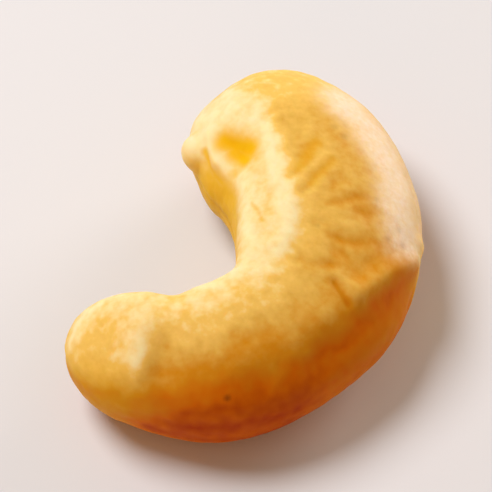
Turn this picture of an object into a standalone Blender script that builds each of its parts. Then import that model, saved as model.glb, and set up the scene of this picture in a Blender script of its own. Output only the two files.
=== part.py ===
"""Roasted cashew kernel, lying on one of its two broad sides.

Blender 4.5 script. Run it with  blender --background --python part.py  or from the text editor.
Metres, +Z up. The kernel rests on z = 0, and the origin is under the middle of its bounding box.

The kernel is drawn as ribs, as a boat's hull is. Each rib runs from the inside of the curl to its back,
and the body swells above and below it. The two halves of the seed, the cotyledons, lie one above the
other and meet at the level of the ribs, where the seam runs all round. The radicle swells out of the tip,
and the raised and sunken forms of the surface are then added along the body's normals.
"""

import math

import bmesh
import bpy
import numpy as np

NAME = "cashew_kernel"
MM = 0.001

# Driving dimensions, in millimetres. The ribs lie at z = 0, the curl opens towards -X, and the blunt
# arm is at -Y. Each rib: share of the way round the curl, its inner end x y, its back end x y, the half
# thickness of the upper cotyledon, and how far the crest leans from the rib's middle to the inside.
RIBS = (
    (0.00, -9.3, -3.3, -11.3, -8.5, 3.8, 0.6),
    (0.13, -6.0, -4.3, -7.3, -10.6, 4.3, 1.0),
    (0.28, -3.0, -4.3, -0.4, -11.8, 4.6, 1.6),
    (0.41, -0.8, -3.4, 5.6, -9.0, 4.8, 2.2),
    (0.55, -0.5, -0.7, 9.8, -3.3, 5.0, 2.6),
    (0.67, -0.6, 1.5, 10.5, 3.6, 5.1, 2.2),
    (0.80, -1.3, 3.2, 7.2, 10.75, 4.9, 1.2),
    (0.90, -2.5, 4.7, 2.2, 13.1, 4.5, 0.4),
    (1.00, -3.6, 5.8, -3.2, 11.0, 3.6, -0.2),
)
# The lower cotyledon is flatter than the upper one, and leans by this share of its lean
LOWER_HALF = 4.2
LOWER_LEAN = 0.25
# The ends are rounded off over these lengths, as a superellipse of this power
BLUNT_CAP = 5.0
TIP_CAP = 5.0
CAP_POWER = 2.3
# Power of the superellipse that the body swells to above and below a rib
BODY_POWER = 2.1

SEAM_DEPTH = 0.12
SEAM_WIDTH = 0.7

# Forms of the surface: height (sunken if negative), width, and the points that the form follows
FORMS = (
    # The notch beside the radicle, the dip above it, and the lip with a soft lobe at its lower end
    (-0.08, 1.4, ((-2.5, 6.3, 2.6), (-2.4, 5.5, 2.5), (-2.2, 4.8, 2.3))),
    (-0.16, 1.3, ((-3.4, 8.3, 0.9), (-3.2, 7.9, 1.5), (-2.8, 7.5, 2.3))),
    (0.20, 1.1, ((-2.2, 6.8, 3.1), (-1.9, 5.8, 3.2), (-1.7, 4.9, 3.2))),
    (0.14, 1.4, ((-1.8, 4.9, 3.0), (-1.4, 4.2, 3.2))),
    # The hollow behind the lip, and the one on the underside
    (-0.30, 1.5, ((-1.5, 6.2, 3.5), (-1.0, 5.4, 3.7), (-0.5, 4.8, 3.9))),
    (-0.26, 2.2, ((-0.5, 5.5, 4.0), (0.0, 4.8, 4.2))),
    (-0.45, 2.0, ((-1.2, 6.4, -3.6), (-0.1, 5.4, -4.0))),
    # Two folds of the inside of the bend, the trough between them, and the trough outside them
    (0.08, 1.6, ((-0.2, 2.8, 3.7), (0.1, -0.2, 4.2), (0.3, -2.6, 4.6), (-0.5, -4.0, 4.5))),
    (0.14, 1.4, ((1.6, 5.8, 4.9), (2.1, 3.0, 5.1), (2.7, 1.2, 5.1), (2.6, -0.4, 5.0), (2.1, -2.3, 5.0))),
    (-0.12, 1.2, ((0.9, 2.6, 4.8), (1.1, 0.7, 4.9), (1.1, -1.4, 4.9))),
    (-0.10, 1.5, ((2.9, 6.4, 4.8), (3.4, 3.6, 4.9), (4.1, 1.4, 4.9), (3.9, -0.8, 4.8), (3.2, -2.8, 4.8))),
    # The back's shoulder, sharp at the elbow and softer along the blunt arm, and the flat below it
    (0.32, 1.4, ((9.9, -1.3, 1.3), (8.3, -3.1, 2.8), (6.6, -4.8, 3.4))),
    (0.18, 2.4, ((6.6, -4.9, 3.4), (4.4, -7.0, 3.7), (2.2, -8.7, 3.7), (-0.6, -9.7, 3.7))),
    (-0.26, 2.6, ((9.3, -3.2, 1.1), (7.4, -5.8, 1.9), (4.6, -8.6, 2.1))),
    # A pimple on the back
    (0.25, 1.2, ((10.4, 0.2, 0.9),)),
    # The knuckle across the blunt arm, and the dip on each side of it
    (0.18, 1.8, ((-5.9, -7.8, 4.2), (-6.0, -8.9, 3.9), (-6.4, -10.0, 3.1))),
    (-0.08, 2.0, ((-4.5, -8.6, 4.2), (-4.8, -10.3, 3.2))),
    (-0.10, 2.4, ((-8.1, -7.6, 3.5), (-8.3, -8.9, 2.8))),
    # The rise and the dip on the inside of the blunt arm
    (0.12, 2.4, ((-6.9, -5.3, 3.4), (-5.6, -5.4, 3.6))),
    (-0.16, 1.8, ((-4.1, -5.6, 4.1), (-3.9, -4.8, 2.8))),
    (0.12, 1.6, ((-2.7, -4.7, 3.9), (-1.7, -4.3, 4.0))),
    # Low swellings and hollows of the underside
    (0.18, 4.0, ((-4.0, -10.6, -2.6), (0.6, -10.8, -2.8))),
    (-0.20, 2.4, ((2.4, -4.2, -4.1), (4.6, -6.6, -3.6))),
    (-0.16, 1.8, ((5.0, 2.6, -4.1), (7.6, 4.4, -3.3))),
)

# The radicle, the seed's little root, which shows as a round knob at the tip: the middle of its foot, the
# way it points, its height and radius, how flat its end is, and how softly it swells out of the body
RADICLE = (-2.8, 6.80, 1.55)
RADICLE_WAY = (-0.75, -0.35, 0.56)
RADICLE_HEIGHT = 0.75
RADICLE_RADIUS = 1.20
RADICLE_POWER = 2.6
RADICLE_BLEND = 0.55
# How many radii away from it the body is left as it is
RADICLE_REACH = 3

# Three low places of the underside that it rests on: height, width, and where each one stands
FEET = (
    (0.20, 3.0, ((-6.1, -7.6, -4.2),)),
    (0.20, 3.0, ((3.7, -2.6, -4.2),)),
    (0.20, 3.0, ((0.5, 8.0, -4.2),)),
)
# The feet are flat at this level
REST_LEVEL = -4.25

# The kernel's colour, as linear red, green and blue, and how dull its surface is
ROASTED_COLOUR = (0.78, 0.45, 0.11, 1.0)
ROASTED_ROUGHNESS = 0.42

STEPS_ALONG = 82
STEPS_ROUND = 72
# How much closer the rings stand at the two ends, and the points of a ring at the seam: 0 is even
END_CROWDING = 0.8
SEAM_CROWDING = 0.3
# Points that the line through the ribs' middles is measured with
MIDDLE_STEPS = 800
# Longest of the steps in which a form's path is laid on the body, in millimetres
PATH_STEP = 0.8


def smooth_through(knots, values, at):
    """Cubic curve through the values, whose slope at each knot comes from the knots beside it."""
    slopes = np.gradient(values, knots, axis=0)
    left = np.clip(np.searchsorted(knots, at) - 1, 0, len(knots) - 2)
    span = (knots[left + 1] - knots[left])[:, None]
    t = (at - knots[left])[:, None] / span
    return (
        (1 + 2 * t) * (1 - t) ** 2 * values[left]
        + t * (1 - t) ** 2 * span * slopes[left]
        + t**2 * (3 - 2 * t) * values[left + 1]
        + t**2 * (t - 1) * span * slopes[left + 1]
    )


def rounding(distance, cap):
    """Share of its full girth that the kernel has at this distance from an end."""
    inside = np.clip(1 - distance / cap, 0, 1)
    return (1 - inside**CAP_POWER) ** (1 / CAP_POWER)


def stations(steps):
    """Middle, half span, upper half thickness, lean and share of full girth, all along the curl."""
    ribs = np.array(RIBS)
    inner, back = ribs[:, 1:3], ribs[:, 3:5]
    table = np.hstack([(inner + back) / 2, (back - inner) / 2, ribs[:, 5:]])
    fine = np.linspace(0, 1, MIDDLE_STEPS)
    middles = smooth_through(ribs[:, 0], table, fine)[:, :2]
    lengths = np.linalg.norm(np.diff(middles, axis=0), axis=1)
    along = np.concatenate([[0], np.cumsum(lengths)])
    even = np.linspace(0, 1, steps + 2)[1:-1]
    eased = (1 - np.cos(np.pi * even)) / 2
    distance = along[-1] * (END_CROWDING * eased + (1 - END_CROWDING) * even)
    frames = smooth_through(ribs[:, 0], table, np.interp(distance, along, fine))
    girth = rounding(distance, BLUNT_CAP) * rounding(along[-1] - distance, TIP_CAP)
    return frames, girth


def smooth_body(steps_along, steps_round):
    """Rings of points round the body, without seam or forms."""
    frames, girth = stations(steps_along)
    turn = np.linspace(0, 2 * np.pi, steps_round, endpoint=False)
    turn = turn - SEAM_CROWDING / 2 * np.sin(2 * turn)
    cos, sin = np.cos(turn), np.sin(turn)
    out = np.sign(cos) * np.abs(cos) ** (2 / BODY_POWER)
    high = np.sign(sin) * np.abs(sin) ** (2 / BODY_POWER)
    middle, across = frames[:, :2], frames[:, 2:4]
    upper = sin > 0
    thick = np.where(upper, frames[:, 4, None], LOWER_HALF)
    lean = frames[:, 5, None] * np.where(upper, 1, LOWER_LEAN)
    lean = lean / np.linalg.norm(across, axis=1)[:, None]
    reach = girth[:, None] * (out - lean * sin**2)
    plan = middle[:, None] + across[:, None] * reach[:, :, None]
    return np.dstack([plan, girth[:, None] * thick * high])


def outward(rings):
    """Unit normals of the rings' points."""
    along = np.gradient(rings, axis=0)
    around = np.roll(rings, -1, axis=1) - np.roll(rings, 1, axis=1)
    normals = np.cross(along, around)
    return normals / np.linalg.norm(normals, axis=2, keepdims=True)


def with_radicle(points):
    """The points, with those over the radicle's foot moved out to its round end."""
    way = np.array(RADICLE_WAY) / np.linalg.norm(RADICLE_WAY)
    away = points - RADICLE
    height = away @ way
    across = np.linalg.norm(away - height[..., None] * way, axis=-1)
    top = RADICLE_HEIGHT * (1 - (across / RADICLE_RADIUS) ** RADICLE_POWER)
    raised = (height + top + np.hypot(height - top, RADICLE_BLEND)) / 2 - height
    near = np.linalg.norm(away, axis=-1) < RADICLE_REACH * RADICLE_RADIUS
    return points + (raised * near)[..., None] * way


def laid(path, rings, normals):
    """The path in short steps, each moved straight onto the body."""
    path = np.array(path, float)
    knots = np.concatenate([[0], np.cumsum(np.linalg.norm(np.diff(path, axis=0), axis=1))])
    at = np.linspace(0, knots[-1], 1 + math.ceil(knots[-1] / PATH_STEP))
    steps = np.stack([np.interp(at, knots, column) for column in path.T], axis=1)
    points, normals = rings.reshape(-1, 3), normals.reshape(-1, 3)
    nearest = [np.linalg.norm(points - step, axis=1).argmin() for step in steps]
    off = np.sum((steps - points[nearest]) * normals[nearest], axis=1)
    return steps - normals[nearest] * off[:, None]


def distance_to(path, points):
    """Distance of the points from a path of straight runs."""
    gap = np.linalg.norm(points - path[0], axis=-1)
    for a, b in zip(path, path[1:]):
        share = np.clip((points - a) @ (b - a) / np.sum((b - a) ** 2), 0, 1)
        gap = np.minimum(gap, np.linalg.norm(points - a - share[..., None] * (b - a), axis=-1))
    return gap


def relief(rings, normals):
    """How far the real surface stands proud of the smooth body."""
    height = -SEAM_DEPTH * np.exp(-((2 * rings[..., 2] / SEAM_WIDTH) ** 2))
    for rise, width, path in FORMS + FEET:
        gap = distance_to(laid(path, rings, normals), rings)
        height += rise * np.exp(-((2 * gap / width) ** 2))
    return height


def kernel_rings():
    """Rings of points round the finished kernel, with the feet flat."""
    rings = with_radicle(smooth_body(STEPS_ALONG, STEPS_ROUND))
    normals = outward(rings)
    rings = rings + normals * relief(rings, normals)[..., None]
    rings[..., 2] = np.maximum(rings[..., 2], REST_LEVEL)
    return rings


def standing(rings):
    """The rings moved so that they stand on z = 0, with their box's middle over the origin."""
    low, high = rings.min(axis=(0, 1)), rings.max(axis=(0, 1))
    foot = (low + high) / 2
    foot[2] = low[2]
    return rings - foot


def roasted_finish():
    material = bpy.data.materials.new("roasted_kernel")
    material.use_nodes = True
    shader = material.node_tree.nodes["Principled BSDF"]
    shader.inputs["Base Color"].default_value = ROASTED_COLOUR
    shader.inputs["Roughness"].default_value = ROASTED_ROUGHNESS
    shader.inputs["Metallic"].default_value = 0.0
    return material


def cashew_kernel():
    """One closed body: the rings skinned with faces, and each end closed by a fan."""
    bm = bmesh.new()
    loops = [[bm.verts.new(point * MM) for point in ring] for ring in standing(kernel_rings())]
    for here, ahead in zip(loops, loops[1:]):
        for i in range(STEPS_ROUND):
            bm.faces.new((here[i - 1], here[i], ahead[i], ahead[i - 1]))
    for loop in (loops[0], loops[-1]):
        middle = sum((vert.co for vert in loop[1:]), loop[0].co.copy()) / STEPS_ROUND
        tip = bm.verts.new(middle)
        for i in range(STEPS_ROUND):
            bm.faces.new((loop[i - 1], loop[i], tip))
    bmesh.ops.recalc_face_normals(bm, faces=bm.faces)
    mesh = bpy.data.meshes.new(NAME)
    bm.to_mesh(mesh)
    bm.free()
    mesh.shade_smooth()
    mesh.materials.append(roasted_finish())
    kernel = bpy.data.objects.new(NAME, mesh)
    bpy.context.collection.objects.link(kernel)
    return kernel


def main():
    for thing in list(bpy.data.objects):
        bpy.data.objects.remove(thing)
    cashew_kernel()


main()
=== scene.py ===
"""Roasted cashew kernel on a pale floor, lit as in a studio.

Blender 4.5 script, laid out as an add-on: a panel in the 3D view's sidebar holds the sizes and colours,
and has a button for the kernel and one for the stage. The tables of the kernel's shape are in
millimetres. They say where the ribs of its body and the forms of its surface are, with the ribs at
z = 0, the curl opening towards -X and the blunt arm at -Y. The scene itself is in metres.
"""

import math

import bpy
import numpy as np
from bpy.props import FloatProperty, FloatVectorProperty, PointerProperty
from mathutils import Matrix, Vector, kdtree, noise


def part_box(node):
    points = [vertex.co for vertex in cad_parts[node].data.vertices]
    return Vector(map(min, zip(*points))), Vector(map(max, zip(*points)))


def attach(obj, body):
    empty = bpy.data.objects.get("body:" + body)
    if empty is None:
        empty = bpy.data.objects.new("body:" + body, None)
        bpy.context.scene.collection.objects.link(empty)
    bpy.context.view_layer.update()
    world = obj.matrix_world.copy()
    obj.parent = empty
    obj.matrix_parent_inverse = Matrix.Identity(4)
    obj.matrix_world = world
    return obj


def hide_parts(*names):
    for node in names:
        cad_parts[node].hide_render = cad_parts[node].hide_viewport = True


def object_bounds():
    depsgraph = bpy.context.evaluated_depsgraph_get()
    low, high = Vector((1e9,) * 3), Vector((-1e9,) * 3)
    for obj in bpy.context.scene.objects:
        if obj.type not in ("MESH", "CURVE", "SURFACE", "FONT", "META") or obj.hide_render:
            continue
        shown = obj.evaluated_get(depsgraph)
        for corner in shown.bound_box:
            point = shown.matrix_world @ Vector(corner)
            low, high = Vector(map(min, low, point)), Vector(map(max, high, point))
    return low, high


bl_info = {
    "name": "Roasted Cashew Kernel",
    "version": (1, 0, 0),
    "blender": (4, 5, 0),
    "location": "3D View > Sidebar > Cashew",
    "description": "Builds a roasted cashew kernel with its surface detail, and a small studio round it",
    "category": "Add Mesh",
}

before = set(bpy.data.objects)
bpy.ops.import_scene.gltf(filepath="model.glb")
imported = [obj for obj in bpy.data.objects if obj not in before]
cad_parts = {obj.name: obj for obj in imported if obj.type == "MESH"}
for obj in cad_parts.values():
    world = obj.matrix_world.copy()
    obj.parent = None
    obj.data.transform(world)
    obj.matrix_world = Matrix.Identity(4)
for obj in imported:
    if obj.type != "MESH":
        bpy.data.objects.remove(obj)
CAD_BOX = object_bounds()
NODE = "cashew_kernel"
MM = 0.001

# Each rib of the body: share of the way round the curl, its inner end x y, its back end x y, the half
# thickness of the upper cotyledon, and how far the crest leans from the rib's middle to the inside
RIBS = (
    (0.00, -9.3, -3.3, -11.3, -8.5, 3.8, 0.6),
    (0.13, -6.0, -4.3, -7.3, -10.6, 4.3, 1.0),
    (0.28, -3.0, -4.3, -0.4, -11.8, 4.6, 1.6),
    (0.41, -0.8, -3.4, 5.6, -9.0, 4.8, 2.2),
    (0.55, -0.5, -0.7, 9.8, -3.3, 5.0, 2.6),
    (0.67, -0.6, 1.5, 10.5, 3.6, 5.1, 2.2),
    (0.80, -1.3, 3.2, 7.2, 10.75, 4.9, 1.2),
    (0.90, -2.5, 4.7, 2.2, 13.1, 4.5, 0.4),
    (1.00, -3.6, 5.8, -3.2, 11.0, 3.6, -0.2),
)
# The lower cotyledon is flatter than the upper one, and leans by this share of its lean
LOWER_HALF = 4.2
LOWER_LEAN = 0.25
# The ends are rounded off over these lengths, as a superellipse of this power
BLUNT_CAP = 5.0
TIP_CAP = 5.0
CAP_POWER = 2.3
# Power of the superellipse that the body swells to above and below a rib
BODY_POWER = 2.1

# Main forms of the surface: height (sunken if negative), width, and the points that the form follows
FORMS = (
    # The notch beside the radicle, the dip above it, and the lip with a soft lobe at its lower end
    (-0.08, 1.4, ((-2.5, 6.3, 2.6), (-2.4, 5.5, 2.5), (-2.2, 4.8, 2.3))),
    (-0.16, 1.3, ((-3.4, 8.3, 0.9), (-3.2, 7.9, 1.5), (-2.8, 7.5, 2.3))),
    (0.20, 1.1, ((-2.2, 6.8, 3.1), (-1.9, 5.8, 3.2), (-1.7, 4.9, 3.2))),
    (0.14, 1.4, ((-1.8, 4.9, 3.0), (-1.4, 4.2, 3.2))),
    # The hollow behind the lip, and the one on the underside
    (-0.30, 1.5, ((-1.5, 6.2, 3.5), (-1.0, 5.4, 3.7), (-0.5, 4.8, 3.9))),
    (-0.26, 2.2, ((-0.5, 5.5, 4.0), (0.0, 4.8, 4.2))),
    (-0.45, 2.0, ((-1.2, 6.4, -3.6), (-0.1, 5.4, -4.0))),
    # Two folds of the inside of the bend, the trough between them, and the trough outside them
    (0.08, 1.6, ((-0.2, 2.8, 3.7), (0.1, -0.2, 4.2), (0.3, -2.6, 4.6), (-0.5, -4.0, 4.5))),
    (0.14, 1.4, ((1.6, 5.8, 4.9), (2.1, 3.0, 5.1), (2.7, 1.2, 5.1), (2.6, -0.4, 5.0), (2.1, -2.3, 5.0))),
    (-0.12, 1.2, ((0.9, 2.6, 4.8), (1.1, 0.7, 4.9), (1.1, -1.4, 4.9))),
    (-0.10, 1.5, ((2.9, 6.4, 4.8), (3.4, 3.6, 4.9), (4.1, 1.4, 4.9), (3.9, -0.8, 4.8), (3.2, -2.8, 4.8))),
    # The back's shoulder, sharp at the elbow and softer along the blunt arm, and the flat below it
    (0.32, 1.4, ((9.9, -1.3, 1.3), (8.3, -3.1, 2.8), (6.6, -4.8, 3.4))),
    (0.18, 2.4, ((6.6, -4.9, 3.4), (4.4, -7.0, 3.7), (2.2, -8.7, 3.7), (-0.6, -9.7, 3.7))),
    (-0.26, 2.6, ((9.3, -3.2, 1.1), (7.4, -5.8, 1.9), (4.6, -8.6, 2.1))),
    # A pimple on the back
    (0.25, 1.2, ((10.4, 0.2, 0.9),)),
    # The knuckle across the blunt arm, and the dip on each side of it
    (0.18, 1.8, ((-5.9, -7.8, 4.2), (-6.0, -8.9, 3.9), (-6.4, -10.0, 3.1))),
    (-0.08, 2.0, ((-4.5, -8.6, 4.2), (-4.8, -10.3, 3.2))),
    (-0.10, 2.4, ((-8.1, -7.6, 3.5), (-8.3, -8.9, 2.8))),
    # The rise and the dip on the inside of the blunt arm
    (0.12, 2.4, ((-6.9, -5.3, 3.4), (-5.6, -5.4, 3.6))),
    (-0.16, 1.8, ((-4.1, -5.6, 4.1), (-3.9, -4.8, 2.8))),
    (0.12, 1.6, ((-2.7, -4.7, 3.9), (-1.7, -4.3, 4.0))),
    # Low swellings and hollows of the underside
    (0.18, 4.0, ((-4.0, -10.6, -2.6), (0.6, -10.8, -2.8))),
    (-0.20, 2.4, ((2.4, -4.2, -4.1), (4.6, -6.6, -3.6))),
    (-0.16, 1.8, ((5.0, 2.6, -4.1), (7.6, 4.4, -3.3))),
)
# The radicle, the seed's little root, which shows as a round knob at the tip: the middle of its foot, the
# way it points, its height and radius, how flat its end is, and how softly it swells out of the body
RADICLE = (-2.8, 6.80, 1.55)
RADICLE_WAY = (-0.75, -0.35, 0.56)
RADICLE_HEIGHT = 0.75
RADICLE_RADIUS = 1.20
RADICLE_POWER = 2.6
RADICLE_BLEND = 0.55
# How many radii away from it the body is left as it is
RADICLE_REACH = 3
# Three low places of the underside that it rests on: height, width, and where each one stands
FEET = (
    (0.20, 3.0, ((-6.1, -7.6, -4.2),)),
    (0.20, 3.0, ((3.7, -2.6, -4.2),)),
    (0.20, 3.0, ((0.5, 8.0, -4.2),)),
)
# The feet are flat at this level
REST_LEVEL = -4.25
# Wrinkles that fan out from the inside of the bend: depth's share (raised if negative), width, points
WRINKLES = (
    (1.0, 1.04, ((4.2, 4.9, 4.8), (3.6, 3.7, 5.0), (3.2, 3.0, 5.1), (2.9, 2.3, 5.1))),
    (-0.7, 0.70, ((4.9, 4.1, 4.7), (4.0, 3.1, 5.0), (3.2, 2.3, 5.1))),
    (1.0, 0.85, ((5.1, 3.8, 4.7), (4.5, 2.8, 4.9), (4.0, 2.0, 5.0), (3.4, 1.3, 5.1))),
    (-0.7, 0.65, ((4.6, 2.1, 4.9), (3.9, 1.2, 5.0))),
    (0.9, 0.98, ((5.6, 2.5, 4.6), (5.1, 1.7, 4.8))),
    (0.9, 0.78, ((7.1, 1.5, 4.1), (6.1, 1.1, 4.4), (5.1, 0.6, 4.7))),
    (0.9, 0.85, ((7.8, 0.8, 3.7), (7.2, 0.3, 3.9), (6.6, 0.4, 4.2))),
    (-0.5, 0.70, ((6.9, -0.6, 4.0), (5.6, -0.6, 4.5), (4.6, -0.2, 4.8))),
    (0.5, 1.30, ((5.1, -0.4, 4.7), (4.4, -0.6, 4.8))),
    (0.9, 0.78, ((7.6, -1.3, 3.5), (6.5, -1.8, 4.0), (6.0, -1.7, 4.2), (5.1, -1.6, 4.5))),
    (0.8, 0.78, ((5.9, -2.8, 4.2), (5.2, -2.3, 4.4))),
    (0.8, 0.78, ((5.1, -3.4, 4.3), (4.2, -3.6, 4.5), (3.2, -3.4, 4.8))),
    (0.7, 0.78, ((7.6, -3.2, 3.3), (7.2, -2.9, 3.5))),
    (0.7, 0.78, ((6.9, -3.8, 3.5), (6.5, -3.6, 3.7))),
    (0.5, 1.04, ((2.6, 5.6, 5.0), (2.8, 4.0, 5.0))),
    (0.5, 0.78, ((2.3, 6.7, 4.8), (2.2, 6.3, 4.8))),
    # A crack in the trough, and the crease across the elbow with a fold at its right
    (0.4, 0.28, ((0.5, 0.7, 4.5), (0.8, 0.1, 4.8), (1.0, -0.7, 4.9))),
    (1.4, 0.45, ((5.2, -4.5, 4.0), (5.6, -5.1, 3.7), (6.0, -5.6, 3.4))),
    (-1.2, 0.55, ((5.5, -4.0, 4.1), (6.1, -4.6, 3.9))),
    # The fold beside the knuckle
    (0.6, 1.20, ((-4.7, -8.3, 4.2), (-4.8, -9.4, 3.8), (-5.0, -10.2, 3.2))),
)
# Where the seam has all but closed, along the outside of the blunt arm: share, width and points
CLOSED_SEAM = (
    (
        0.85,
        6.0,
        ((8.6, -4.8, 0.0), (5.6, -9.0, 0.0), (-0.4, -11.8, 0.0), (-7.3, -10.6, 0.0), (-10.4, -9.2, 0.0)),
    ),
)
# How far the roast went, from 0, cream, to 1, umber, along lines of the surface, together with painted light
# and shade: the top is paler and the back and underside darker, partly from the roast and partly as painted
# shade of light from above. A level below 0 keeps a small place pale among darker ones
ROAST_AND_SHADE = (
    # The crest round the bend, the trough, the inside edge, the tip with its radicle and lip, and the top
    # of the blunt arm
    (
        0.00,
        (
            (0.6, 7.4, 4.7), (1.1, 5.8, 4.7), (1.8, 4.2, 5.0), (1.9, 2.6, 5.0), (2.4, 1.0, 5.1),
            (2.6, 0.0, 5.1), (2.3, -1.4, 5.0), (1.8, -3.2, 4.9), (0.8, -4.2, 4.8),
        ),
    ),
    (0.06, ((1.0, 3.5, 4.7), (0.9, 2.2, 4.6), (0.9, 0.6, 4.8))),
    (0.02, ((0.0, 2.8, 4.0), (0.3, -0.2, 4.4), (0.4, -2.6, 4.7), (-0.5, -4.2, 4.5), (-2.5, -4.8, 4.0))),
    (0.00, ((-3.0, 8.8, 2.0), (-2.4, 8.3, 2.9), (-0.9, 7.5, 4.0), (-0.8, 9.4, 3.4))),
    (0.22, ((-0.4, 11.2, 2.6), (1.2, 9.8, 3.9), (3.0, 9.6, 4.0))),
    # The radicle's lower side kept pale, a painted light
    (-0.10, ((-3.8, 6.8, 1.3), (-3.5, 6.4, 1.9), (-3.2, 5.9, 1.3))),
    (-0.05, ((-2.2, 6.8, 3.1), (-1.8, 5.6, 3.3), (-1.5, 4.7, 3.3))),
    (0.08, ((-1.5, -5.8, 4.6), (-4.0, -6.4, 4.5), (-7.0, -6.0, 4.0))),
    (0.00, ((-8.4, -5.0, 3.2), (-9.8, -6.6, 2.4), (-10.4, -7.4, 1.4))),
    (0.15, ((-8.6, -8.2, 2.8), (-6.3, -8.7, 4.1), (-3.4, -8.2, 4.4), (-0.6, -7.4, 4.6), (2.2, -5.4, 4.6))),
    # The fan, the face outside it, the back along the top of the blunt arm, the knuckle, and the shoulder
    (
        0.37,
        (
            (2.9, 7.2, 4.7), (3.1, 5.6, 4.8), (3.6, 4.3, 4.9), (3.9, 2.6, 5.0), (4.3, 1.2, 4.9),
            (4.5, 0.2, 4.9), (4.3, -1.2, 4.8), (3.9, -2.8, 4.7), (3.4, -4.4, 4.6),
        ),
    ),
    (0.465, ((4.4, 7.4, 4.3), (5.6, 5.6, 4.3), (6.4, 3.6, 4.3), (6.8, 1.0, 4.2), (6.5, -1.6, 4.0))),
    (0.50, ((5.6, -3.6, 4.0), (4.4, -5.6, 4.1), (2.0, -7.9, 4.1))),
    (0.62, ((6.6, -5.4, 3.2), (4.4, -7.6, 3.2), (1.6, -9.6, 3.1))),
    # A paler patch low on the blunt end, a painted light
    (0.22, ((-8.6, -9.1, 2.0), (-8.0, -9.4, 2.3), (-7.0, -9.8, 2.6))),
    (0.64, ((2.0, -8.3, 4.0), (-0.6, -9.9, 3.8), (-3.6, -10.3, 3.5), (-5.4, -10.5, 2.9))),
    # The knuckle's pale lines, a painted highlight
    (-0.06, ((-5.8, -8.5, 4.2), (-5.9, -9.2, 3.8), (-6.3, -9.6, 3.4))),
    (0.02, ((-6.2, -9.4, 3.5), (-7.4, -9.2, 3.1))),
    (0.34, ((-4.4, -9.2, 4.0), (-5.0, -10.2, 3.2), (-6.4, -10.4, 2.6))),
    (
        0.20,
        (
            (1.0, 11.4, 3.0), (3.5, 11.0, 3.0), (7.2, 7.6, 3.0), (9.0, 3.6, 2.8), (9.8, 0.6, 2.0),
            (10.2, -0.8, 0.6),
        ),
    ),
    # Below the shoulder, the back at the seam, and the underside, darker partly from the roast and partly as
    # painted shade
    (0.78, ((10.2, -1.7, 1.2), (9.3, -2.9, 2.0), (8.4, -4.2, 2.2), (6.5, -6.8, 2.5), (3.0, -10.0, 2.4))),
    (0.80, ((3.0, -10.0, 2.4), (-0.6, -11.1, 2.7), (-4.0, -11.4, 2.3), (-6.2, -11.1, 1.5))),
    (0.74, ((-7.3, -10.7, 1.5), (-9.2, -9.5, 0.2), (-10.4, -7.9, -0.5))),
    (0.80, ((9.4, -3.8, -0.8), (6.4, -8.8, -0.6))),
    (0.92, ((3.6, -10.4, 1.5), (-0.6, -11.8, 1.6), (-3.6, -11.9, 1.2))),
    (0.98, ((3.0, -10.9, 0.2), (1.0, -11.9, 0.2), (-4.0, -11.8, -0.2))),
    (0.98, ((2.4, -10.6, -1.6), (-1.0, -11.4, -1.6), (-5.4, -11.0, -1.2))),
    (0.70, ((10.3, 1.0, -2.0), (9.8, 6.0, -2.2), (6.6, 10.4, -2.2), (1.6, 12.3, -2.0), (-3.0, 10.4, -2.0))),
    (0.90, ((-8.5, -7.0, -3.8), (1.0, -7.6, -4.2), (4.6, -1.0, -4.2), (3.6, 5.0, -4.2), (-0.4, 8.8, -4.0))),
    # The inside of the radicle's arm, of the bend and of the blunt arm
    (0.45, ((-2.6, 5.6, -0.8), (-1.9, 4.2, 0.2), (-1.0, 2.4, 0.4))),
    (0.35, ((-0.8, 0.4, 1.2), (-0.8, -2.2, 1.0), (-3.4, -4.0, 1.0), (-8.2, -3.6, 0.6))),
)
# How sharply one tone gives way to the next
TONE_POWER = 3.0
TONE_SOFTNESS = 1.1
# How far the streaks pull the tones to and fro across the body, in millimetres, and the heights between
# which that grows from nothing, low on the flank, to all of it
STREAK_REACH = 0.7
STREAK_HEIGHTS = (0.0, 3.6)
# How much darker the wrinkles are, a painted shade in them, how much darker the seam is, and how much paler
# the raised forms and the fine swellings are and how much darker their dips, a painted light and shade, as
# levels of the roast and its painted shade. What the wrinkles' painted shade adds falls by the loss between
# two levels of the roast
FOLD_SHADE = 0.21
FOLD_LOSS = 0.09
FOLD_LOSS_LEVELS = (0.2, 0.5)
SEAM_TONE = 0.08
FORM_SHADING = -0.25
FINE_SHADING = -0.05
# Where the colour is a clear honey yellow, partly the flesh's own and partly painted warm shade in the notch
# and the wrinkles, and on the blunt end a painted light: share, width and points: the hollow, the lobe's
# foot, the notch, the two deepest wrinkles with the trough below the hollow, and the blunt end
HONEY_AND_PAINTED_LIGHT = (
    (1.0, 1.6, ((-1.3, 6.0, 3.6), (-0.6, 5.5, 3.9), (0.3, 5.0, 4.2))),
    (1.0, 1.3, ((-0.8, 5.1, 3.8), (-0.4, 4.6, 4.0), (-0.1, 4.3, 4.1))),
    (0.5, 0.8, ((-0.5, 3.7, 3.8), (-1.0, 3.6, 3.2))),
    (0.9, 0.7, ((-2.4, 5.9, 2.6), (-2.3, 5.3, 2.5), (-2.0, 4.5, 2.3), (-1.5, 3.7, 2.4))),
    (0.3, 0.9, ((4.2, 4.9, 4.8), (3.6, 3.7, 5.0), (3.2, 3.0, 5.1))),
    (0.22, 1.6, ((0.2, 4.9, 4.3), (0.5, 4.1, 4.5), (0.7, 3.4, 4.6))),
    (0.25, 0.8, ((5.1, 3.8, 4.7), (4.5, 2.8, 4.9), (4.0, 2.0, 5.0))),
    # The lower side of the blunt end, a painted lit patch
    (0.3, 3.6, ((-7.4, -10.4, 1.6), (-8.8, -9.4, 0.9), (-10.0, -8.2, 0.3))),
)
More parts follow.
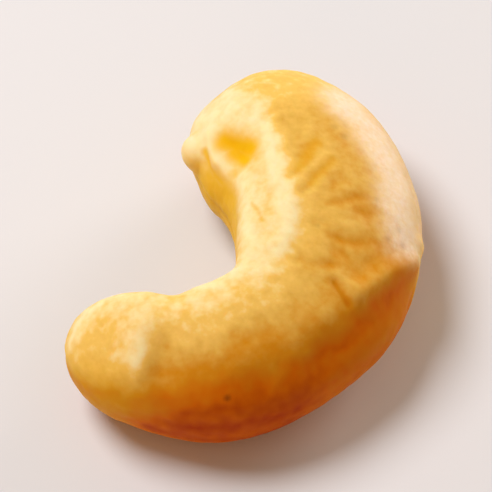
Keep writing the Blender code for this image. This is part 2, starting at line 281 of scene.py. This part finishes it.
# Painted warm bounce light on the inside wall beside the radicle, yellow where the wall is steep and faces
# down, fading round the bend: share, width and points
WALL_BOUNCE_LIGHT = (
    (0.85, 3.8, ((-2.6, 5.1, 1.2), (-2.2, 4.5, 1.4), (-1.6, 3.7, 1.8), (-1.0, 2.8, 1.6), (-0.8, 1.4, 1.2))),
    (0.45, 7.0, ((-2.4, 4.8, 0.6), (-1.0, 2.8, 0.6), (-0.6, 0.2, 0.6), (-0.7, -2.4, 0.6))),
    (0.25, 8.0, ((-0.6, 0.2, 0.6), (-0.7, -2.4, 0.6), (-3.4, -4.0, 0.6), (-6.4, -4.0, 0.6))),
)
# Upward part of the surface's normal: the wall is fully steep below the first, and not steep above the
# second, so its painted bounce light follows which way the surface faces
STEEP_NORMALS = (0.3, 0.97)
# Painted sheen on the back's shoulder, where it is palest, partly its own paler flesh: share, width and
# points
SHOULDER_SHEEN = (
    (1.0, 3.4, ((6.0, 9.0, 3.0), (7.4, 7.2, 3.0), (8.9, 3.6, 2.8), (9.4, -0.2, 2.5))),
    (0.6, 2.8, ((6.4, 9.8, 2.4), (8.2, 7.8, 2.2), (9.8, 4.0, 1.9), (10.2, 1.6, 1.7))),
)
# Small scorched specks: share, width and place
SPECKS = (
    (0.9, 0.40, ((-0.9, -11.6, 2.4),)),
    (0.25, 0.50, ((5.9, 5.8, 4.2),)),
    (0.2, 0.50, ((5.3, 6.4, 4.3),)),
    (0.25, 0.35, ((4.3, -1.0, 4.8),)),
    (0.25, 0.40, ((8.4, -0.8, 3.1),)),
    (0.25, 0.45, ((9.1, 0.1, 2.7),)),
    (0.25, 0.45, ((9.3, -0.8, 2.4),)),
    (0.2, 0.40, ((7.8, 1.6, 3.7),)),
    (0.8, 0.35, ((3.4, 11.9, 0.4),)),
)

# How sharp the edge of a patch is
PATCH_POWER = 3

# Rings along the curl, and points round each of them
STEPS_ALONG = 400
STEPS_ROUND = 236
# How much closer the rings stand at the two ends, and the points of a ring at the seam: 0 is even
END_CROWDING = 0.85
SEAM_CROWDING = 0.1
# Points that the line through the ribs' middles is measured with
MIDDLE_STEPS = 800
# Length of the steps in which a path is laid on the body, in millimetres
PATH_STEP = 0.8
# Width of the ripples and of the streaks across the body in millimetres, and how often they break up on
# their way round
RIPPLES = (0.9, 4.0)
STREAKS = (1.1, 1.2)
# Levels of the roast and its painted shade between which the ripples grow to their full height
RIPPLE_LEVELS = (-0.1, 0.5)
# Seeds of the ripples and of the finer ones among them, how much finer those are, and their share
RIPPLE_SEED = 41
FINE_RIPPLE_SEED = 43
FINE_RIPPLE_TIMES = 2.0
FINE_RIPPLE_SHARE = 0.35
# Random swellings, size in millimetres and seed: the body's large, small and fine ones, and those that
# make the seam wander and vary in depth
LARGE_SWELLS = (3.2, 5)
SMALL_SWELLS = (1.3, 7)
FINE_SWELLS = (0.6, 9)
WANDER_SWELLS = (3.5, 11)
SEAM_SWELLS = (2.0, 23)
# How high the small and the fine swellings are beside the large ones
SMALL_SHARE = 0.45
# How far the seam wanders up and down, in millimetres, and the middle and the swing of its depth's share
SEAM_WANDER = 0.15
SEAM_SHARE = 0.8
SEAM_SWING = 0.5

# Noise in the flesh: size in millimetres, detail and roughness. The grain stands for the pores, and is
# drawn coarser than they are, as coarse as it needs to show
PATTERNS = {
    "mottle": (0.5, 2.0, 0.5),
    "grain": (0.35, 2.0, 0.55),
    "film": (0.8, 3.0, 0.55),
}
# Sockets of the Mix node for colours, which share their names with its other sockets
MIX_UNDER = 6
MIX_OVER = 7
MIX_RESULT = 2
# Half the width of the floor, in metres
FLOOR_HALF = 1.5
# The lamps: size and place in metres, and colour. Their powers are among the stage's settings
LAMPS = {
    "key": (0.17, (-0.148, 0.075, 0.287), "FFFCF8"),
    "rim": (0.16, (0.20, 0.20, 0.07), "FFF4EC"),
    "fill": (0.20, (-0.06, -0.25, 0.06), "FFB468"),
}


def linear(code):
    """Linear red, green, blue and alpha of an sRGB colour given as six hex digits."""
    shares = [int(code[i : i + 2], 16) / 255 for i in (0, 2, 4)]
    return (*(s / 12.92 if s <= 0.04045 else ((s + 0.055) / 1.055) ** 2.4 for s in shares), 1.0)


def colour_property(name, description, code):
    return FloatVectorProperty(
        name=name, description=description, default=linear(code), size=4, min=0, max=1, subtype="COLOR"
    )


def length_property(name, description, millimetres):
    return FloatProperty(
        name=name,
        description=description,
        default=millimetres * MM,
        min=0,
        precision=5,
        subtype="DISTANCE",
        unit="LENGTH",
    )


def power_property(name, description, watts):
    return FloatProperty(name=name, description=description, default=watts, min=0, unit="POWER")


class KernelSettings(bpy.types.PropertyGroup):
    """Sizes and colours of the kernel."""

    seam_depth: length_property("Seam depth", "Depth of the seam between the two halves", 0.12)
    seam_width: length_property("Seam width", "Width of the seam between the two halves", 0.7)
    wrinkle_depth: length_property("Wrinkle depth", "Depth of the wrinkles at the bend", 0.085)
    ripple_height: length_property("Ripple height", "Height of the ripples across the body", 0.022)
    lump_height: length_property("Lump height", "Height of the body's low swellings", 0.06)
    # From cream to umber, the colours are partly the roast and partly painted light and shade: paler on the
    # top, darker low on the back and underside
    cream: colour_property("Cream", "The crest, which the roast reached least", "FDEDBC")
    straw: colour_property("Straw", "The top of the blunt arm", "F2C868")
    golden: colour_property("Golden", "The fan of wrinkles and the face beside it", "E2B454")
    ochre: colour_property("Ochre", "The top of the back, along the blunt arm", "D58F1A")
    amber: colour_property("Amber", "The back, below its shoulder", "D26C02")
    umber: colour_property("Umber", "The darkest of the roast, low on the back", "A42B00")
    # Honey is partly the flesh's own yellow and partly painted warm shade and light; the blush is mostly a
    # painted sheen, partly paler flesh
    honey_and_painted_light: colour_property("Honey", "The hollow, the notch, the deep wrinkles and the inside wall", "F2BB12")
    sheen_blush: colour_property("Blush", "The shoulder of the back", "FBE6D0")
    speck: colour_property("Speck", "Small scorched specks", "7A3A0C")


class StageSettings(bpy.types.PropertyGroup):
    """The floor, the light and the camera."""

    floor: colour_property("Floor", "Colour of the floor", "E4E6EF")
    sky: colour_property("Sky", "Colour of the light from all round", "FFE6C0")
    sky_strength: FloatProperty(name="Sky strength", description="Light from all round", default=0.28, min=0)
    key_power: power_property("Key power", "Power of the main lamp", 0.87)
    rim_power: power_property("Rim power", "Power of the lamp behind on the right", 0.45)
    fill_power: power_property("Fill power", "Power of the low warm lamp in front", 0.12)
    elevation: FloatProperty(
        name="Camera elevation",
        description="How far above the floor the camera stands, seen from the kernel",
        default=math.radians(55),
        subtype="ANGLE",
        unit="ROTATION",
    )
    lens: FloatProperty(name="Lens", description="Focal length in millimetres", default=250, unit="CAMERA")
    field: length_property("Field", "Width of what the camera sees at the kernel", 29.2)


# Shape


def smooth_through(knots, values, at):
    """Cubic curve through the values, whose slope at each knot comes from the knots beside it."""
    slopes = np.gradient(values, knots, axis=0)
    left = np.clip(np.searchsorted(knots, at) - 1, 0, len(knots) - 2)
    span = (knots[left + 1] - knots[left])[:, None]
    t = (at - knots[left])[:, None] / span
    return (
        (1 + 2 * t) * (1 - t) ** 2 * values[left]
        + t * (1 - t) ** 2 * span * slopes[left]
        + t**2 * (3 - 2 * t) * values[left + 1]
        + t**2 * (t - 1) * span * slopes[left + 1]
    )


def rounding(distance, cap):
    """Share of its full girth that the kernel has at this distance from an end."""
    inside = np.clip(1 - distance / cap, 0, 1)
    return (1 - inside**CAP_POWER) ** (1 / CAP_POWER)


def stations():
    """Distance along the curl, the rib's middle, half span, thickness and lean there, and girth."""
    ribs = np.array(RIBS)
    inner, back = ribs[:, 1:3], ribs[:, 3:5]
    table = np.hstack([(inner + back) / 2, (back - inner) / 2, ribs[:, 5:]])
    fine = np.linspace(0, 1, MIDDLE_STEPS)
    middles = smooth_through(ribs[:, 0], table, fine)[:, :2]
    lengths = np.linalg.norm(np.diff(middles, axis=0), axis=1)
    along = np.concatenate([[0], np.cumsum(lengths)])
    even = np.linspace(0, 1, STEPS_ALONG + 2)[1:-1]
    eased = (1 - np.cos(np.pi * even)) / 2
    distance = along[-1] * (END_CROWDING * eased + (1 - END_CROWDING) * even)
    frames = smooth_through(ribs[:, 0], table, np.interp(distance, along, fine))
    girth = rounding(distance, BLUNT_CAP) * rounding(along[-1] - distance, TIP_CAP)
    return distance, frames, girth


def smooth_body():
    """Rings of points round the body without seam or forms, and where each point is along the curl, in
    millimetres, and round the body, in radians."""
    distance, frames, girth = stations()
    turn = np.linspace(0, 2 * np.pi, STEPS_ROUND, endpoint=False)
    turn = turn - SEAM_CROWDING / 2 * np.sin(2 * turn)
    cos, sin = np.cos(turn), np.sin(turn)
    out = np.sign(cos) * np.abs(cos) ** (2 / BODY_POWER)
    high = np.sign(sin) * np.abs(sin) ** (2 / BODY_POWER)
    middle, across = frames[:, :2], frames[:, 2:4]
    upper = sin > 0
    thick = np.where(upper, frames[:, 4, None], LOWER_HALF)
    lean = frames[:, 5, None] * np.where(upper, 1, LOWER_LEAN)
    lean = lean / np.linalg.norm(across, axis=1)[:, None]
    reach = girth[:, None] * (out - lean * sin**2)
    plan = middle[:, None] + across[:, None] * reach[:, :, None]
    rings = np.dstack([plan, girth[:, None] * thick * high])
    return rings, *np.meshgrid(distance, turn, indexing="ij")


def outward(rings):
    """Unit normals of the rings' points."""
    along = np.gradient(rings, axis=0)
    around = np.roll(rings, -1, axis=1) - np.roll(rings, 1, axis=1)
    normals = np.cross(along, around)
    return normals / np.linalg.norm(normals, axis=2, keepdims=True)


class Body:
    """The kernel's smooth body, as rings of points, on which the paths of its forms and tones are laid."""

    def __init__(self, rings):
        self.points = rings
        self.flat = rings.reshape(-1, 3)
        self.normals = outward(rings).reshape(-1, 3)
        self.tree = kdtree.KDTree(len(self.flat))
        for i, point in enumerate(self.flat):
            self.tree.insert(point, i)
        self.tree.balance()

    def laid(self, path):
        """The path in short steps, each moved straight onto the body."""
        path = np.array(path, float)
        knots = np.concatenate([[0], np.cumsum(np.linalg.norm(np.diff(path, axis=0), axis=1))])
        at = np.linspace(0, knots[-1], 1 + math.ceil(knots[-1] / PATH_STEP))
        steps = np.stack([np.interp(at, knots, column) for column in path.T], axis=1)
        nearest = [self.tree.find(step)[1] for step in steps]
        off = np.sum((steps - self.flat[nearest]) * self.normals[nearest], axis=1)
        return steps - self.normals[nearest] * off[:, None]

    def distance_to(self, path, points=None):
        """Distance of the points, or else of all the body's points, from the path."""
        points = self.points if points is None else points
        path = self.laid(path)
        gap = np.linalg.norm(points - path[0], axis=-1)
        for a, b in zip(path, path[1:]):
            share = np.clip((points - a) @ (b - a) / np.sum((b - a) ** 2), 0, 1)
            gap = np.minimum(gap, np.linalg.norm(points - a - share[..., None] * (b - a), axis=-1))
        return gap

    def bumps(self, table):
        """Sum of soft bumps along the table's paths."""
        return sum(rise * np.exp(-((2 * self.distance_to(path) / width) ** 2)) for rise, width, path in table)

    def patches(self, table, points=None):
        """Highest of the patches along the table's paths, which are even inside and have a soft edge."""
        gaps = [2 * self.distance_to(path, points) / width for _, width, path in table]
        return np.max([rise * np.exp(-(gap**PATCH_POWER)) for gap, (rise, _, _) in zip(gaps, table)], axis=0)

    def pulled(self, streaks):
        """The points, pulled to and fro across the body by the streaks."""
        across = np.roll(self.points, -1, axis=1) - np.roll(self.points, 1, axis=1)
        across = across / np.linalg.norm(across, axis=2, keepdims=True)
        reach = STREAK_REACH * ease(*STREAK_HEIGHTS, self.points[..., 2])
        return self.points + (reach * streaks)[..., None] * across

    def roast_and_shade(self, points):
        """How far the roast went at each of the points, with the painted light and shade in it, as a blend of
        the lines near it.
        """
        weights = [1 / (self.distance_to(line, points) + TONE_SOFTNESS) ** TONE_POWER for _, line in ROAST_AND_SHADE]
        return sum(w * level for w, (level, _) in zip(weights, ROAST_AND_SHADE)) / sum(weights)


def swells(points, size, seed):
    """Smooth random swellings between about -1 and 1, of this size in millimetres."""
    flat = points.reshape(-1, 3) / size + seed
    return np.array([noise.noise(p) for p in flat]).reshape(points.shape[:-1])


def ripples(along, turn, width, turns):
    """Random ripples across the body, which run from the inside of the curl to its back."""
    wrapped = np.dstack([along / width, turns * np.cos(turn), turns * np.sin(turn)])
    finer = swells(wrapped * FINE_RIPPLE_TIMES, 1.0, FINE_RIPPLE_SEED)
    return swells(wrapped, 1.0, RIPPLE_SEED) + FINE_RIPPLE_SHARE * finer


def ease(low, high, values):
    """0 below low, 1 above high, and smooth between them."""
    t = np.clip((values - low) / (high - low), 0, 1)
    return t * t * (3 - 2 * t)


def with_radicle(points):
    """The points, with those over the radicle's foot moved out to its round end."""
    way = np.array(RADICLE_WAY) / np.linalg.norm(RADICLE_WAY)
    away = points - RADICLE
    height = away @ way
    across = np.linalg.norm(away - height[..., None] * way, axis=-1)
    top = RADICLE_HEIGHT * (1 - (across / RADICLE_RADIUS) ** RADICLE_POWER)
    raised = (height + top + np.hypot(height - top, RADICLE_BLEND)) / 2 - height
    near = np.linalg.norm(away, axis=-1) < RADICLE_REACH * RADICLE_RADIUS
    return points + (raised * near)[..., None] * way


def kernel_points(settings):
    """Rings of points in millimetres, and the shares of each tone at each point."""
    rings, along, turn = smooth_body()
    rings = with_radicle(rings)
    body = Body(rings)
    # The ripples and the swellings fade out at the feet
    feet = body.bumps([(1, width, path) for _, width, path in FEET])
    wander = SEAM_WANDER * swells(rings, *WANDER_SWELLS)
    seam = np.exp(-((2 * (rings[..., 2] + wander) * MM / settings.seam_width) ** 2))
    seam = seam * (SEAM_SHARE + SEAM_SWING * swells(rings, *SEAM_SWELLS)) * (1 - body.patches(CLOSED_SEAM))
    folds = body.bumps(WRINKLES)
    pulled = body.pulled(ripples(along, turn, *STREAKS))
    roast_and_shade = body.roast_and_shade(pulled)
    across = ripples(along, turn, *RIPPLES) * ease(*RIPPLE_LEVELS, roast_and_shade)
    fine = swells(rings, *FINE_SWELLS)
    lumps = swells(rings, *LARGE_SWELLS) + SMALL_SHARE * swells(rings, *SMALL_SWELLS) + SMALL_SHARE * fine
    forms = body.bumps(FORMS)
    height = forms + body.bumps(FEET)
    height -= seam * settings.seam_depth / MM
    height -= folds * settings.wrinkle_depth / MM
    height += across * (1 - feet) * settings.ripple_height / MM
    height += lumps * (1 - feet) * settings.lump_height / MM
    finished = rings + outward(rings) * height[..., None]
    finished[..., 2] = np.maximum(finished[..., 2], REST_LEVEL)
    # How steep and down-facing the surface is, which sets the painted bounce light on the inside wall
    steep = 1 - ease(*STEEP_NORMALS, outward(finished)[..., 2])
    # The wrinkles' painted shade, weaker where the level is already dark
    fold_shade = FOLD_SHADE - FOLD_LOSS * ease(*FOLD_LOSS_LEVELS, roast_and_shade)
    tones = {
        # The level: the roast, with painted shade in the wrinkles and hollows, painted light on raised forms
        # and fine swellings, and the darker seam
        "roast_and_shade": roast_and_shade + folds * fold_shade + FORM_SHADING * forms + FINE_SHADING * fine + SEAM_TONE * seam,
        # Honey yellow, partly the flesh's own and partly painted warm shade and light, with the painted
        # bounce light on the steep inside wall
        "honey_and_painted_light": np.maximum(body.patches(HONEY_AND_PAINTED_LIGHT), steep * body.patches(WALL_BOUNCE_LIGHT)),
        # Where the painted sheen on the shoulder lies
        "shoulder": body.patches(SHOULDER_SHEEN, pulled),
        # The ripples' heights, which the material turns into painted light and shade
        "ripple_shade": across,
        "speck": body.patches(SPECKS),
    }
    return finished, tones


def skin(rings):
    """Vertices and faces of the closed skin over the rings: quads between them, a fan over each end."""
    across = np.arange(STEPS_ROUND)
    before = np.roll(across, 1)
    start = np.arange(STEPS_ALONG - 1)[:, None] * STEPS_ROUND
    quads = np.stack(
        [start + before, start + across, start + across + STEPS_ROUND, start + before + STEPS_ROUND], axis=-1
    ).reshape(-1, 4)
    last = (STEPS_ALONG - 1) * STEPS_ROUND
    count = STEPS_ALONG * STEPS_ROUND
    blunt = [(b, count, a) for a, b in zip(across, before)]
    tip = [(last + a, count + 1, last + b) for a, b in zip(across, before)]
    points = np.vstack([rings.reshape(-1, 3), rings[0].mean(axis=0), rings[-1].mean(axis=0)])
    return points, [*quads.tolist(), *blunt, *tip]


def placed(points):
    """The points in metres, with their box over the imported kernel's box."""
    points = points * MM
    low, high = (np.array(corner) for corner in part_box(NODE))
    own_low, own_high = points.min(axis=0), points.max(axis=0)
    shift = (low + high - own_low - own_high) / 2
    shift[2] = low[2] - own_low[2]
    return points + shift


# Materials


def add_node(tree, kind, settings=None, inputs=None):
    """Adds a node. Each input takes a number or a colour, or the output socket that it is linked to."""
    node = tree.nodes.new(kind)
    for name, value in (settings or {}).items():
        setattr(node, name, value)
    for name, value in (inputs or {}).items():
        if isinstance(value, bpy.types.NodeSocket):
            tree.links.new(value, node.inputs[name])
        else:
            node.inputs[name].default_value = value
    return node


def empty_material(name):
    material = bpy.data.materials.new(name)
    material.use_nodes = True
    material.node_tree.nodes.clear()
    return material, material.node_tree


def roasted_kernel_material(settings):
    """Roasted cotyledon: starchy flesh that light sinks into, dry and pale at the crest, with a thin film of
    its own oil that gives the soft gloss, and fine pores from the roasting. Its colours carry painted light
    and shade too: a darker back and underside, warm shade in hollows and creases, bounce light on the inside
    wall and a sheen on the shoulder."""
    material, tree = empty_material("roasted_cashew_flesh")
    place = add_node(tree, "ShaderNodeTexCoord").outputs["Object"]

    tones = {}
    for name in ("roast_and_shade", "ripple_shade", "honey_and_painted_light", "shoulder", "speck"):
        tones[name] = add_node(tree, "ShaderNodeAttribute", {"attribute_name": name}).outputs["Fac"]
    noises = {}
    for name, (size, detail, roughness) in PATTERNS.items():
        inputs = {"Vector": place, "Scale": 1 / (size * MM), "Detail": detail, "Roughness": roughness}
        noises[name] = add_node(tree, "ShaderNodeTexNoise", {}, inputs).outputs["Fac"]

    # Looks that follow a tone or a noise: its two limits, and what the look is at each
    limits = {
        "mottle swing": (noises["mottle"], 0.3, 0.7, -1.0, 1.0),
        "mottle at the crest": (tones["roast_and_shade"], 0.0, 0.25, 0.3, 1.0),
        "mottle elsewhere": (tones["roast_and_shade"], 0.3, 0.7, 0.07, 0.012),
        # The ripples' painted light and shade: paler on their crests and darker in their dips, less where the
        # level is dark
        "ripple_shade": (tones["roast_and_shade"], 0.3, 0.7, -0.045, -0.008),
        # The painted sheen's share, broken by the grain
        "sheen_blush": (noises["grain"], 0.3, 0.7, 0.6, 0.95),
        "roughness": (noises["film"], 0.3, 0.7, 0.42, 0.56),
    }
    looks = {}
    for name, (value, low, high, at_low, at_high) in limits.items():
        inputs = {"Value": value, "From Min": low, "From Max": high, "To Min": at_low, "To Max": at_high}
        looks[name] = add_node(tree, "ShaderNodeMapRange", {}, inputs).outputs["Result"]

    clamped = {"operation": "MULTIPLY", "use_clamp": True}
    adding = {"operation": "MULTIPLY_ADD"}
    inputs = {0: looks["mottle at the crest"], 1: looks["mottle elsewhere"]}
    reach = add_node(tree, "ShaderNodeMath", clamped, inputs).outputs["Value"]
    inputs = {0: looks["mottle swing"], 1: reach, 2: tones["roast_and_shade"]}
    mottled = add_node(tree, "ShaderNodeMath", adding, inputs).outputs["Value"]
    # The ripples' painted light and shade goes into the level
    inputs = {0: tones["ripple_shade"], 1: looks["ripple_shade"], 2: mottled}
    level = add_node(tree, "ShaderNodeMath", adding, inputs).outputs["Value"]
    # The ramp runs from cream to umber; its darker end is partly painted shade on the back and underside
    ramp = add_node(tree, "ShaderNodeValToRGB", {}, {"Fac": level})
    stops = (
        settings.cream, settings.straw, settings.golden, settings.ochre, settings.amber, settings.umber
    )
    elements = ramp.color_ramp.elements
    elements.remove(elements[1])
    elements[0].position, elements[0].color = 0, stops[0]
    for i, stop in enumerate(stops[1:], 1):
        elements.new(i / (len(stops) - 1)).color = stop

    # The painted sheen is grained, and gives way where the level is dark, from the roast or painted shade
    inputs = {"Value": level, "From Min": 0.45, "From Max": 0.75, "To Min": 1.0, "To Max": 0.0}
    pale_level = add_node(tree, "ShaderNodeMapRange", {}, inputs).outputs["Result"]
    grained = add_node(tree, "ShaderNodeMath", clamped, {0: tones["shoulder"], 1: looks["sheen_blush"]})
    sheen_blush = add_node(tree, "ShaderNodeMath", clamped, {0: grained.outputs["Value"], 1: pale_level})
    scorch = add_node(tree, "ShaderNodeMath", clamped, {0: tones["speck"], 1: 0.8})
    colour = ramp.outputs["Color"]
    # Layers over the ramp: honey with painted warm shade and light, the painted sheen, and the specks
    layers = (
        (tones["honey_and_painted_light"], settings.honey_and_painted_light),
        (sheen_blush.outputs["Value"], settings.sheen_blush),
        (scorch.outputs["Value"], settings.speck),
    )
    for share, tint in layers:
        inputs = {"Factor": share, MIX_UNDER: colour, MIX_OVER: tint}
        colour = add_node(tree, "ShaderNodeMix", {"data_type": "RGBA"}, inputs).outputs[MIX_RESULT]
    bump = add_node(
        tree,
        "ShaderNodeBump",
        {},
        {"Strength": 0.5, "Distance": 0.03 * MM, "Height": noises["grain"]},
    ).outputs["Normal"]
    shader = add_node(
        tree,
        "ShaderNodeBsdfPrincipled",
        {"subsurface_method": "RANDOM_WALK"},
        {
            "Base Color": colour,
            "Roughness": looks["roughness"],
            "IOR": 1.47,
            "Subsurface Weight": 0.3,
            "Subsurface Radius": (1.0, 0.45, 0.15),
            "Subsurface Scale": 0.9 * MM,
            "Specular IOR Level": 0.05,
            "Normal": bump,
        },
    )
    add_node(tree, "ShaderNodeOutputMaterial", {}, {"Surface": shader.outputs["BSDF"]})
    return material


def floor_material(settings):
    """Matt painted board."""
    material, tree = empty_material("matt_board")
    shader = add_node(
        tree, "ShaderNodeBsdfPrincipled", {}, {"Base Color": settings.floor, "Roughness": 0.9, "IOR": 1.45}
    )
    add_node(tree, "ShaderNodeOutputMaterial", {}, {"Surface": shader.outputs["BSDF"]})
    return material


# Operators


class CASHEW_OT_kernel(bpy.types.Operator):
    """Build the kernel with its surface detail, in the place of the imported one"""

    bl_idname = "cashew.kernel"
    bl_label = "Kernel"

    def execute(self, context):
        settings = context.scene.cashew_kernel
        rings, tones = kernel_points(settings)
        points, faces = skin(rings)
        mesh = bpy.data.meshes.new("kernel_flesh")
        mesh.from_pydata(placed(points).tolist(), [], faces)
        for name, values in tones.items():
            ends = [values[0].mean(), values[-1].mean()]
            layer = mesh.attributes.new(name, "FLOAT", "POINT")
            layer.data.foreach_set("value", np.concatenate([values.ravel(), ends]))
        mesh.shade_smooth()
        mesh.materials.append(roasted_kernel_material(settings))
        kernel = bpy.data.objects.new("kernel_flesh", mesh)
        context.scene.collection.objects.link(kernel)
        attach(kernel, "root")
        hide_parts(NODE)
        return {"FINISHED"}


def area_lamp(name, power, size, place, aim, colour):
    """A soft lamp of this size, at this place and aimed at a point."""
    data = bpy.data.lights.new(name, "AREA")
    data.shape = "DISK"
    data.energy, data.size, data.color = power, size, colour[:3]
    lamp = bpy.data.objects.new(name, data)
    lamp.location = place
    lamp.rotation_euler = (Vector(aim) - Vector(place)).to_track_quat("-Z", "Y").to_euler()
    bpy.context.scene.collection.objects.link(lamp)


class CASHEW_OT_stage(bpy.types.Operator):
    """Build the floor, the lamps and the camera"""

    bl_idname = "cashew.stage"
    bl_label = "Stage"

    def execute(self, context):
        scene = context.scene
        settings = scene.cashew_stage
        low, high = CAD_BOX
        middle = (low + high) / 2

        mesh = bpy.data.meshes.new("floor")
        corners = [(x * FLOOR_HALF, y * FLOOR_HALF, 0) for x, y in ((-1, -1), (1, -1), (1, 1), (-1, 1))]
        mesh.from_pydata(corners, [], [(0, 1, 2, 3)])
        mesh.materials.append(floor_material(settings))
        floor = bpy.data.objects.new("floor", mesh)
        scene.collection.objects.link(floor)

        world = bpy.data.worlds.new("sky")
        world.use_nodes = True
        sky = world.node_tree.nodes["Background"]
        sky.inputs["Color"].default_value = settings.sky
        sky.inputs["Strength"].default_value = settings.sky_strength
        scene.world = world
        powers = {"key": settings.key_power, "rim": settings.rim_power, "fill": settings.fill_power}
        for name, (size, place, colour) in LAMPS.items():
            area_lamp(name, powers[name], size, place, middle, linear(colour))

        data = bpy.data.cameras.new("camera")
        data.lens = settings.lens
        data.clip_start = 0.01
        camera = bpy.data.objects.new("camera", data)
        elevation = settings.elevation
        back = Vector((0, -math.cos(elevation), math.sin(elevation)))
        distance = settings.field * data.lens / data.sensor_width
        camera.location = middle + back * distance
        camera.rotation_euler = (-back).to_track_quat("-Z", "Y").to_euler()
        scene.collection.objects.link(camera)
        scene.camera = camera
        # Plain colours, without a film look
        scene.view_settings.view_transform = "Standard"
        return {"FINISHED"}


class CASHEW_PT_panel(bpy.types.Panel):
    """Sizes, colours and buttons"""

    bl_idname = "CASHEW_PT_panel"
    bl_label = "Cashew"
    bl_space_type = "VIEW_3D"
    bl_region_type = "UI"
    bl_category = "Cashew"

    def draw(self, context):
        for settings in (context.scene.cashew_kernel, context.scene.cashew_stage):
            for name in settings.__annotations__:
                self.layout.prop(settings, name)
        self.layout.operator(CASHEW_OT_kernel.bl_idname)
        self.layout.operator(CASHEW_OT_stage.bl_idname)


CLASSES = (KernelSettings, StageSettings, CASHEW_OT_kernel, CASHEW_OT_stage, CASHEW_PT_panel)


def register():
    for cls in CLASSES:
        bpy.utils.register_class(cls)
    bpy.types.Scene.cashew_kernel = PointerProperty(type=KernelSettings)
    bpy.types.Scene.cashew_stage = PointerProperty(type=StageSettings)


def unregister():
    del bpy.types.Scene.cashew_stage
    del bpy.types.Scene.cashew_kernel
    for cls in reversed(CLASSES):
        bpy.utils.unregister_class(cls)


def main():
    register()
    bpy.ops.cashew.kernel()
    bpy.ops.cashew.stage()


if __name__ == "__main__":
    main()
